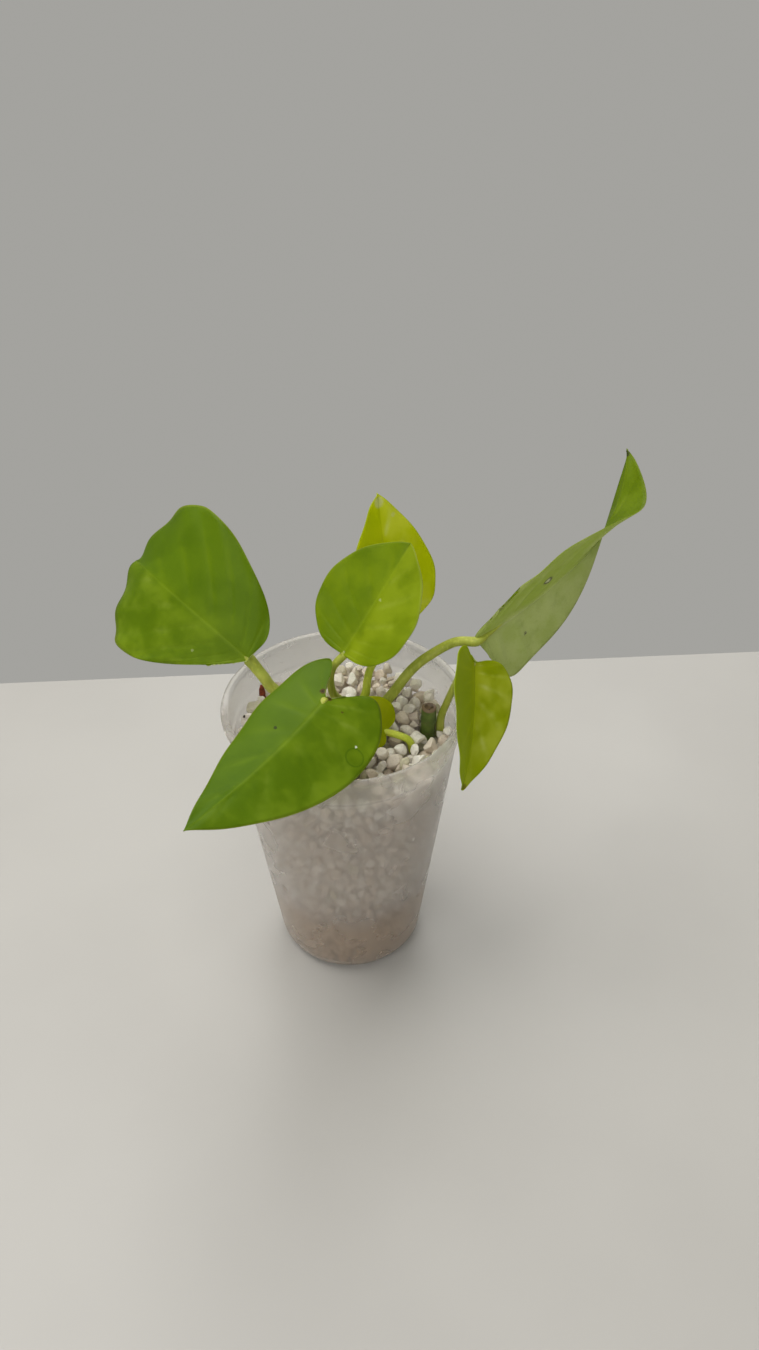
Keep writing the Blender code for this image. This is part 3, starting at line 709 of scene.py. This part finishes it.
def bladeGrid(leaf, frames, t, v):
    # points on lateral vein t at v, -1 at the right margin and 1 at the left
    spots = np.linspace(0, 1, 101)
    widest = (np.sin(np.pi * spots) * (1 - spots ** leaf["point"])).max()
    side = np.where(v >= 0, 0, 1)
    lobe = (t / blade["lobeAt"] * np.exp(1 - t / blade["lobeAt"])) ** 2
    swell = ((1 - np.cos(np.pi * t)) / 2) ** np.take(leaf["spread"], side)
    edgeAlong = leaf["length"] * swell - np.take(leaf["lobes"], side) * lobe
    edgeAcross = np.take(leaf["halfWidths"], side) * np.sin(np.pi * t) \
        * (1 - t ** leaf["point"]) / widest
    start = leaf["length"] * t ** blade["veinStart"]
    along = start + (edgeAlong - start) * np.abs(v) ** blade["veinCurve"]
    across = edgeAcross * np.abs(v)
    fold = math.radians(leaf["fold"])
    bend = math.radians(leaf["cup"]) / max(leaf["halfWidths"])
    if abs(bend) > 1e-6:
        out = (np.sin(fold + bend * across) - math.sin(fold)) / bend
        lift = (math.cos(fold) - np.cos(fold + bend * across)) / bend
    else:
        out, lift = across * math.cos(fold), across * math.sin(fold)
    spot = np.clip(along / leaf["length"], 0, 1) * (len(frames) - 1)
    low = np.minimum(spot.astype(int), len(frames) - 2)
    share = (spot - low)[..., None]
    at = frames[low] * (1 - share) + frames[low + 1] * share
    place, forward, left, up = at[..., :3], at[..., 3:6], at[..., 6:9], at[..., 9:]
    place = place + forward * np.minimum(along, 0)[..., None]
    points = place + left * np.where(v >= 0, out, -out)[..., None] + up * lift[..., None]
    return points, across, along


def spotOn(leaf, frames, along, side):
    return tuple(bladeGrid(leaf, frames, np.array([[along]]), np.array([[side]]))[0][0, 0])


def buildLeaf(name, leaf, material):
    frames = midribFrames(leaf)
    rows, half = blade["rows"], blade["columns"] // 2
    t = 0.006 + 0.990 * (np.linspace(0, 1, rows) * 0.75
                         + 0.25 * (1 - np.cos(np.pi * np.linspace(0, 1, rows))) / 2)
    cross = np.linspace(0, 1, half + 1) ** 1.25
    v = np.concatenate([-cross[::-1], cross[1:]])
    tt, vv = np.meshgrid(t, v, indexing="ij")
    points, across, along = bladeGrid(leaf, frames, tt, vv)
    rise = np.gradient(points, axis=0)
    run = np.gradient(points, axis=1)
    normal = np.cross(rise, run)
    normal /= np.maximum(np.linalg.norm(normal, axis=2), 1e-12)[..., None]
    size = leaf["length"] / blade["usualLength"]
    seed = sum(map(ord, name))
    # soft swells, the corrugation of the side veins and a wavy margin
    wave = blade["swell"] * leaf["swell"] * size * np.abs(vv) * (
        np.sin(6.1 * tt + 2.3 * vv + seed) + 0.7 * np.sin(11.0 * tt - 3.1 * vv + 2 * seed))
    veins = (0.5 + 0.5 * np.cos(2 * np.pi * (blade["veins"] * tt ** 0.9 + 0.25 * (vv < 0)))) ** 6
    fade = np.clip(np.abs(vv) * 4, 0, 1) * np.clip((1 - np.abs(vv)) * 2.2, 0, 1) \
        * np.clip(np.sin(np.pi * tt) * 1.6, 0, 1)
    wave -= blade["veinDepth"] * size * veins * fade
    wave += leaf["ripple"] * np.abs(vv) ** 5 * np.sin(34 * tt + 2 * vv + seed)
    taper = (1 - tt) ** 0.55
    grooveShape = np.exp(-(across / (blade["grooveWidth"] * (0.35 + 0.65 * taper))) ** 2)
    top = points + normal * (wave - blade["groove"] * size * taper * grooveShape)[..., None]
    thin = blade["thickness"] * (1 - 0.5 * np.abs(vv) ** 4)
    ribShape = np.exp(-(across / (blade["ribWidth"] * (0.3 + 0.7 * taper))) ** 2)
    ribVein = blade["underVein"] * size * veins * fade
    under = points + normal * (wave - thin - blade["rib"] * size * taper * ribShape
                               - ribVein)[..., None]
    columns = len(v)
    verts = np.concatenate([top.reshape(-1, 3), under.reshape(-1, 3)])
    grid = np.arange(rows * columns).reshape(rows, columns)
    quads = np.stack([grid[:-1, :-1], grid[1:, :-1], grid[1:, 1:], grid[:-1, 1:]], -1)
    quads = quads.reshape(-1, 4)
    low = quads[:, ::-1] + rows * columns
    rim = np.concatenate([grid[0, :-1], grid[:-1, -1], grid[-1, :0:-1], grid[:0:-1, 0]])
    ring = np.stack([rim, np.roll(rim, -1), np.roll(rim, -1) + rows * columns,
                     rim + rows * columns], -1)
    faces = np.concatenate([quads, low, ring]).tolist()
    rib = (0.35 + 0.65 * taper) \
        * np.exp(-(across / (blade["ribPaint"] * (0.35 + 0.65 * taper))) ** 2)
    marks = {
        "rib": np.tile(rib.ravel(), 2),
        "vein": np.tile((veins * fade).ravel(), 2),
        "margin": np.tile(np.abs(vv).ravel(), 2),
        "along": np.tile(tt.ravel(), 2),
        "half": np.tile(np.clip(vv * 3, -1, 1).ravel(), 2),
        "under": np.concatenate([np.zeros(rows * columns), np.ones(rows * columns)]),
    }
    piece = meshPiece(name + "_blade", verts, faces, material, [name],
                      "young_leaf" if name == "leaf_back" else "leaf", marks)
    facingOut(piece)


# small marks and painted highlights on single leaves: along, across (left is plus), radius in
# metres, colour, strength
brown, blackish, pale = (0.085, 0.035, 0.006), (0.015, 0.013, 0.006), (0.62, 0.66, 0.34)
blemishes = {
    "leaf_front": [(0.162, -0.26, 0.0012, brown, 0.9), (0.046, 0.22, 0.0011, brown, 0.9),
                   (0.162, -0.26, 0.0006, blackish, 0.8), (0.550, -0.42, 0.0007, blackish, 0.8),
                   # the near-white spot beside the dried drop is a painted glint
                   (0.395, 0.73, 0.0005, (0.9, 0.92, 0.8), 0.7), (0.27, 0.35, 0.0004, brown, 0.7)],
    "leaf_left": [(0.422, 0.39, 0.0006, pale, 0.3)],
    "leaf_centre": [(0.735, -0.12, 0.0006, pale, 0.3)],
    "leaf_tall": [(0.534, -0.36, 0.0022, blackish, 0.9), (0.534, -0.36, 0.0014, pale, 0.9),
                  (0.478, 0.47, 0.0009, blackish, 0.9), (0.99, 0.0, 0.0014, blackish, 0.8)],
    # the pale spot at the tip is a painted highlight on the curled tip
    "leaf_back": [(0.97, 0.0, 0.0022, pale, 0.6), (0.80, -0.85, 0.0010, pale, 0.4)],
    "leaf_low": [(0.985, 0.0, 0.0011, brown, 0.6)],
}
waterMarks = {"leaf_front": [(0.425, 0.80, 0.0030)]}       # dried drops: along, across, radius
# how much darker the tip is, how much one half is darkened as painted shade (left if plus), how
# strong the painted highlight streaks on the other half are
shade = {"leaf_front": (0.35, -0.60, 0.08), "leaf_centre": (0.1, 0.45, 0.06),
         "leaf_left": (0.15, -0.55, 0.10), "leaf_back": (0.0, 0.20, 0.75),
         "leaf_tall": (0.5, 0.0, 0.05), "leaf_low": (0.1, -0.60, 0.60),
         "leaf_small": (0.1, 0.10, 0.10)}


# the upper side when old and when young, what shines through, its painted highlight streak and its
# marks, then the underside
greens = {"oldDark": (0.086, 0.170, 0.001), "youngDark": (0.30, 0.37, 0.002),
          "oldLight": (0.145, 0.248, 0.001), "youngLight": (0.46, 0.52, 0.003),
          # the streak colour is a painted highlight
          "through": (0.74, 0.86, 0.012), "streak": (0.84, 0.88, 0.30), "rib": (0.30, 0.40, 0.02),
          "margin": (0.36, 0.42, 0.05), "underDark": (0.50, 0.57, 0.17),
          "underLight": (0.62, 0.69, 0.24), "underVein": (0.66, 0.72, 0.30),
          "underHalf": (0.74, 0.79, 0.40), "underRib": (0.78, 0.82, 0.42),
          "underTip": (0.16, 0.24, 0.01)}


def between(a, b, share):
    return tuple(p + (q - p) * share for p, q in zip(a, b))


def leafSkin(name, leaf):
    material, root = newFinish(name + "_skin")
    place = root.place()
    cloud = root.noise(place, 85, 3, 0.55)
    fine = root.noise(place, 1500, 3, 0.6)
    cells = root.node("ShaderNodeTexVoronoi", None, {"Vector": place, "Scale": 2600.0}, 0)
    rib, vein, margin = root.mark("rib"), root.mark("vein"), root.mark("margin")
    half = root.mark("half")
    young = leaf["young"]
    dark = between(greens["oldDark"], greens["youngDark"], young)
    light = between(greens["oldLight"], greens["youngLight"], young)
    # a darker green, used for the painted shade on one half and for the darker tip, patches and
    # drop rings
    deep = (dark[0] * 0.52, dark[1] * 0.70, dark[2])
    toTip, toLeft, highlightStreaks = shade[name]
    upper = cloud.step(0.36, 0.64).mix(dark, light)
    upper = (0.35 * (-1 * half).step(-0.6, 0.6)).mix(upper, light)
    upper = (toTip * root.mark("along").step(0.25, 0.9)).mix(upper, deep)
    # painted shade: the half turned from the light is made darker
    upper = (abs(toLeft) * (half * math.copysign(1, toLeft)).step(-0.6, 1.2)).mix(upper, deep)
    upper = (0.35 * vein * cloud.step(0.4, 0.6)).mix(upper, light)
    # painted highlights: pale streaks along the veins on the lit half
    lit = (half * math.copysign(1, -toLeft)).step(-0.2, 0.9) * cloud.step(0.40, 0.66)
    upper = (highlightStreaks * lit * (0.25 + 0.75 * vein)).mix(upper, greens["streak"])
    upper = (0.30 * rib).mix(upper, greens["rib"])
    upper = (0.5 * margin.step(0.975, 0.998)).mix(upper, greens["margin"])
    below = cloud.step(0.3, 0.75).mix(greens["underDark"], greens["underLight"])
    below = (0.5 * vein).mix(below, greens["underVein"])
    below = (0.35 * half.step(-0.1, 0.2)).mix(below, greens["underHalf"])
    below = (0.8 * rib).mix(below, greens["underRib"])
    below = (toTip * root.mark("along").step(0.68, 0.8)).mix(below, greens["underTip"])
    colour = root.mark("under").mix(upper, below)
    # fine pale mottling: partly the leaf's own colour, partly painted highlight glints
    colour = (0.15 * fine.step(0.45, 0.75)).mix(colour, light)
    colour = (0.25 * root.noise(place, 240, 3, 0.6).step(0.5, 0.8)).mix(colour, deep)
    frames = midribFrames(leaf)
    # less light comes through the midrib, the pale clouds and the marks
    clear = leaf["clear"] * (1.05 - 0.25 * cloud.step(0.36, 0.64)) * (1 - 0.35 * rib)
    for along, side, radius, tone, strength in blemishes.get(name, []):
        away = root.away(place, spotOn(leaf, frames, along, side))
        inside = 1 - (away + 0.0012 * (fine - 0.5)).step(0.55 * radius, radius)
        colour = (strength * inside).mix(colour, tone)
        clear = clear * (1 - strength * inside)
    for along, side, radius in waterMarks.get(name, []):
        away = root.away(place, spotOn(leaf, frames, along, side))
        ring = away.step(0.78 * radius, 0.9 * radius) * (1 - away.step(0.9 * radius, radius))
        colour = (0.8 * ring).mix(colour, deep)
    rough = 0.36 + 0.14 * fine + 0.16 * root.mark("under")
    normal = root.bump(fine * 0.5 + 0.5 * cells, 0.18, 0.00012)
    face = skin(root, colour, rough, normal, {"Specular IOR Level": 0.14})
    glow = between(dark if young < 0.5 else light, greens["through"], 0.5)
    through = root.node("ShaderNodeBsdfTranslucent", None, {"Color": (*glow, 1)})
    output(root, root.node("ShaderNodeMixShader", None, {0: clear, 1: face, 2: through}))
    return material


for leafName, leaf in leaves.items():
    buildLeaf(leafName, leaf, leafSkin(leafName, leaf))
print("leaves made")


petiole = {"perSpan": 8, "sides": 20, "endDrop": 0.9, "channel": 0.20, "channelWidth": 0.55,
           "runOn": ((3, 0.85), (7, 0.6), (12, 0.4)),            # midrib frame, drop in radii
           "green": ((0.42, 0.45, 0.075), (0.29, 0.33, 0.035), 0.4),     # light, dark, streaks
           "pale": ((0.58, 0.64, 0.07), (0.44, 0.52, 0.04), 0.3),
           "paleOnes": ("petiole_small", "petiole_back")}


def stalkSkin(name, light, dark, streak):
    material, root = newFinish(name)
    place = root.place()
    cloud = root.noise(place, 160, 3)
    fine = root.noise(place, 2000, 3)
    lines = root.noise(root.node("ShaderNodeMapping", None,
                                 {"Vector": place, "Scale": (1, 1, 0.12)}), 1300, 2)
    colour = cloud.step(0.3, 0.7).mix(dark, light)
    colour = (streak * lines.step(0.5, 0.7)).mix(colour, tuple(c * 1.35 for c in light))
    normal = root.bump(lines + 0.4 * fine, 0.25, 0.00015)
    output(root, skin(root, colour, 0.36 + 0.15 * fine, normal,
                      {"Specular IOR Level": 0.25, "Subsurface Weight": 0.15,
                       "Subsurface Radius": (0.002, 0.003, 0.0005), "Subsurface Scale": 1.0}))
    return material


def grooved(angle, along):
    # the channel along a petiole's upper side
    return 1 - petiole["channel"] * math.exp(-((angle - math.pi) / petiole["channelWidth"]) ** 2)


def buildPetiole(name, route, material):
    leaf = leaves[route["leaf"]]
    frames = midribFrames(leaf)
    inBlade = []                                 # the stalk runs on under the midrib
    for i, drop in petiole["runOn"]:
        at = frames[i]
        inBlade.append(at[:3] - at[9:] * drop * route["radii"][1])
    end = np.array(attachPoint(leaf)) - frames[0][9:] * petiole["endDrop"] * route["radii"][1]
    path = splinePath([aboveGravel(p) for p in route["path"]] + [end] + inBlade,
                      petiole["perSpan"])
    start, finish = route["radii"]
    count = len(path)
    last = len(route["path"]) * petiole["perSpan"]
    radii = []
    for i in range(count):
        if i <= last:
            share = i / last
            swell = 1 + 0.30 * math.exp(-i / 5) + 0.10 * math.exp(-((last - i) / 4) ** 2)
            radii.append((start + (finish - start) * share) * swell)
        else:
            share = (i - last) / (count - 1 - last)
            radii.append(finish * (0.10 + 0.90 * (1 - share) ** 1.5))
    verts, faces = sweep(path, radii, petiole["sides"], (0, 0, 1), grooved)
    piece = meshPiece(name + "_stalk", verts, faces, material, [name], "petiole")
    facingOut(piece)


wood = {"rings": 34, "sides": 28, "nodes": ((0.80, 0.035), (0.45, 0.03)), "nodeSwell": 0.10,
        # step along, share of the radius
        "healedCut": ((0.0001, 0.96), (0.00022, 0.84), (0.0001, 0.62), (-0.0002, 0.3)),
        "dark": (0.055, 0.095, 0.012), "light": (0.14, 0.20, 0.03), "bark": (0.16, 0.11, 0.05),
        "cut": (0.20, 0.13, 0.07)}


def buildStem(name, stem, material):
    a, b = aboveGravel(stem["foot"]), aboveGravel(stem["top"])
    rings, sides = wood["rings"], wood["sides"]
    path = [a + (b - a) * i / (rings - 1) for i in range(rings)]
    radii = []
    for i in range(rings):
        share = i / (rings - 1)
        node = sum(math.exp(-((share - at) / over) ** 2) for at, over in wood["nodes"])
        radii.append(stem["radius"] * (1 + (stem["end"] - 1) * share)
                     * (1 + wood["nodeSwell"] * node))
    for drop, shrink in wood["healedCut"]:
        path.append(path[-1] + (b - a) / np.linalg.norm(b - a) * drop)
        radii.append(radii[rings - 1] * shrink)
    verts, faces = sweep(path, radii, sides, (0, 1, 0),
                         lambda angle, along: 1 + 0.02 * math.sin(3 * angle + 9 * along))
    cutMark = np.zeros(len(verts))
    cutMark[(rings - 1) * sides:] = 1
    piece = meshPiece(name + "_wood", verts, faces, material, [name], "stem", {"scar": cutMark})
    facingOut(piece)


def stemSkin():
    material, root = newFinish("vineSkin")
    place = root.place()
    cloud = root.noise(place, 220, 3)
    fine = root.noise(place, 1800, 3)
    colour = cloud.step(0.3, 0.7).mix(wood["dark"], wood["light"])
    colour = (0.6 * root.noise(place, 500, 2).step(0.6, 0.72)).mix(colour, wood["bark"])
    colour = root.mark("scar").step(0.2, 0.8).mix(colour, wood["cut"])
    output(root, skin(root, colour, 0.45 + 0.2 * fine, root.bump(fine + cloud, 0.3, 0.0002)))
    return material


stalk = stalkSkin("stalkSkin", *petiole["green"])
paleStalk = stalkSkin("paleStalkSkin", *petiole["pale"])
for name, route in routes.items():
    buildPetiole(name, route, paleStalk if name in petiole["paleOnes"] else stalk)
vine = stemSkin()
for name, stem in stems.items():
    buildStem(name, stem, vine)
print("stalks and stems made")


chip = {"width": 0.0034, "thickness": 0.0014, "rows": 14, "sides": 20,
        "dark": (0.13, 0.018, 0.008), "light": (0.36, 0.07, 0.025)}


def buildChip():
    material, root = newFinish("barkFlake")
    place = root.place()
    layers = root.noise(root.node("ShaderNodeMapping", None,
                                  {"Vector": place, "Scale": (1, 1, 4)}), 500, 4, 0.6)
    colour = layers.step(0.35, 0.7).mix(chip["dark"], chip["light"])
    output(root, skin(root, colour, 0.8, root.bump(layers, 0.6, 0.0004)))
    low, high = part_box("bark_chip")
    centre = (low + high) / 2
    bearing = math.atan2(centre.y, centre.x)
    outward = np.array((math.cos(bearing), math.sin(bearing), 0))
    sideways = np.array((-math.sin(bearing), math.cos(bearing), 0))
    width, thick, tall = chip["width"], chip["thickness"], high.z - low.z
    rows, ring = chip["rows"], chip["sides"]
    verts = []
    for i in range(rows):
        share = i / (rows - 1)
        wide = width / 2 * (1 - 0.45 * share) * (1 - 5.4 * max(0, share - 0.9))
        deep = thick / 2 * (1 - 0.35 * share)
        for j in range(ring):
            angle = 2 * math.pi * j / ring
            rough = 1 + 0.10 * math.sin(5 * angle + 7 * share) + 0.06 * math.sin(23 * share + j)
            verts.append(np.array(centre) + outward * deep * rough * math.sin(angle)
                         + sideways * wide * rough * math.cos(angle)
                         + np.array((0, 0, tall * (share - 0.5))))
    faces = ringFaces(rows, ring)
    faces.append(tuple(range(ring))[::-1])
    faces.append(tuple(range((rows - 1) * ring, rows * ring)))
    piece = meshPiece("bark_flake", verts, faces, material, ["bark_chip"], "bark")
    facingOut(piece)


buildChip()
print("bark flake made")


crumbs = {"seed": 5, "shapes": 6, "bearings": (196, 203, 209, 214, 171, 12),
          "inFromWall": (0.0022, 0.0012, 0.0018, 0.0030, 0.0016, 0.0020),
          "sizes": (0.0009, 0.0007, 0.0006, 0.0008, 0.0006, 0.0005),
          "dark": (0.020, 0.015, 0.010), "light": (0.070, 0.050, 0.032)}


def buildCrumbs(tops):
    # dark crumbs of soil lying on the grains along the wall
    material, root = newFinish("soilCrumb")
    grit = root.noise(root.place(), 1500, 3, 0.6)
    colour = grit.step(0.35, 0.7).mix(crumbs["dark"], crumbs["light"])
    output(root, skin(root, colour, 0.85, root.bump(grit, 0.5, 0.0003)))
    rng = np.random.default_rng(crumbs["seed"])
    shapes, faces = grainShapes(rng, crumbs["shapes"], 3)
    places = []
    for bearing, inset, size in zip(*(crumbs[k] for k in ("bearings", "inFromWall", "sizes"))):
        angle, far = math.radians(bearing), wallRadius(gravelTop, cup["wall"]) - inset
        x, y = far * math.cos(angle), far * math.sin(angle)
        nearest = tops[np.argmin(np.hypot(tops[:, 0] - x, tops[:, 1] - y) - 0.2 * tops[:, 2])]
        places.append((nearest[0], nearest[1], nearest[2] + 0.9 * nearest[3] + 0.4 * size, size))
    pileMesh("soil_crumbs", np.array(places), shapes, faces, rng, material, [], "bark", 1)


buildCrumbs(gravelTops)
print("crumbs made")
